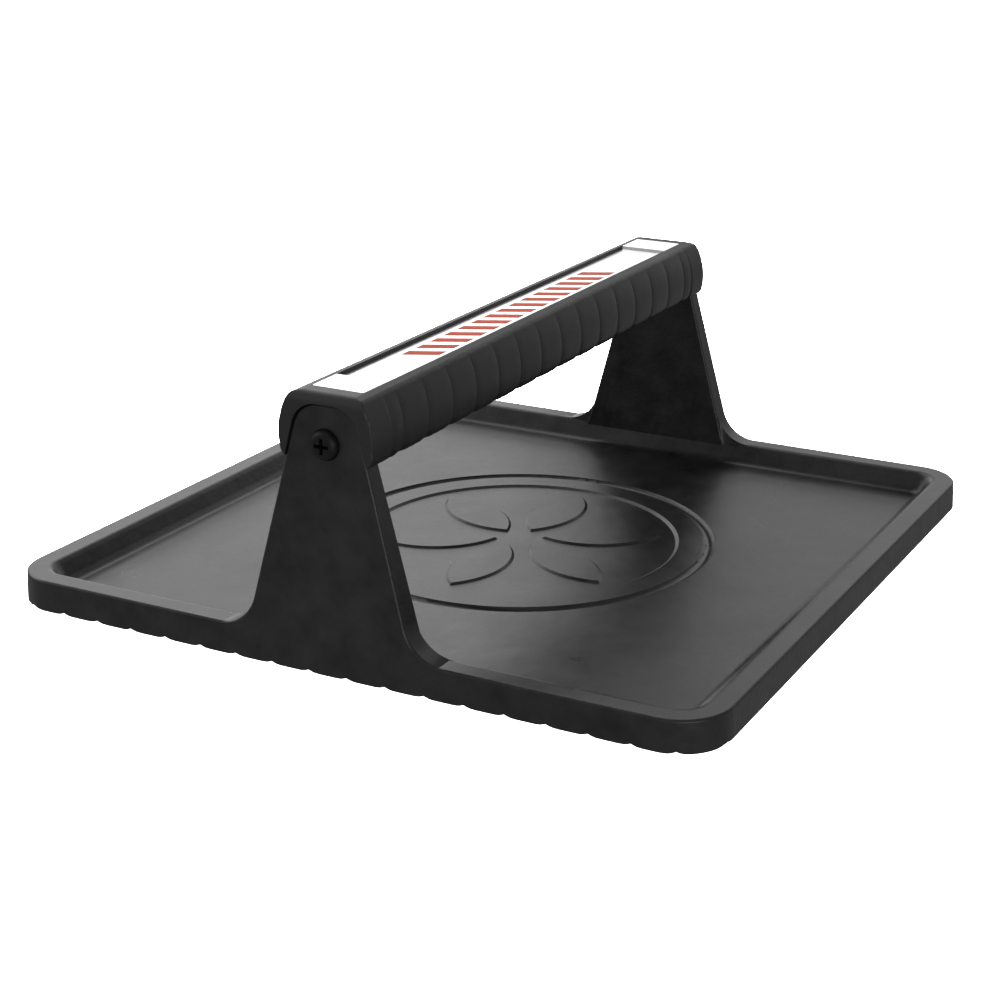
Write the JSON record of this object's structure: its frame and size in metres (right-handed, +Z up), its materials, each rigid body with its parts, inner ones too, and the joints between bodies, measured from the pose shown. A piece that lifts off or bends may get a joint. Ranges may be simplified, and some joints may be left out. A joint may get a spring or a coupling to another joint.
{
  "type": "griddle press",
  "caption": "Square ribbed cast-iron press plate with two cast posts and a moulded grip screwed between them, used to hold food flat on a griddle.",
  "frame": {"origin": "under the middle of the plate, on the plane of the rib crests that it rests on", "axes": "+Z up, away from the griddle; +Y along the grip, from one post to the other; +X across the grip, along the two edges that carry the posts"},
  "size_m": [0.2548, 0.2548, 0.0899],
  "materials": {
    "cast_iron": "seasoned black, semi-gloss, lightly pitted",
    "grip_moulding": "black heat-resistant moulding, satin",
    "bright_sheet": "fine satin, with a plain orange-red accent along its sunken middle",
    "screw_steel": "dark zinc plated",
    "spring_steel": "plain spring steel",
    "insert_brass": "machined"
  },
  "bodies": {
    "root": {"press_plate": "cast_iron", "grip": "grip_moulding", "top_plate": "bright_sheet", "screw_near": "screw_steel", "screw_far": "screw_steel", "lock_washer_near": "spring_steel", "lock_washer_far": "spring_steel", "insert_near": "insert_brass", "insert_far": "insert_brass"}
  },
  "joints": []
}
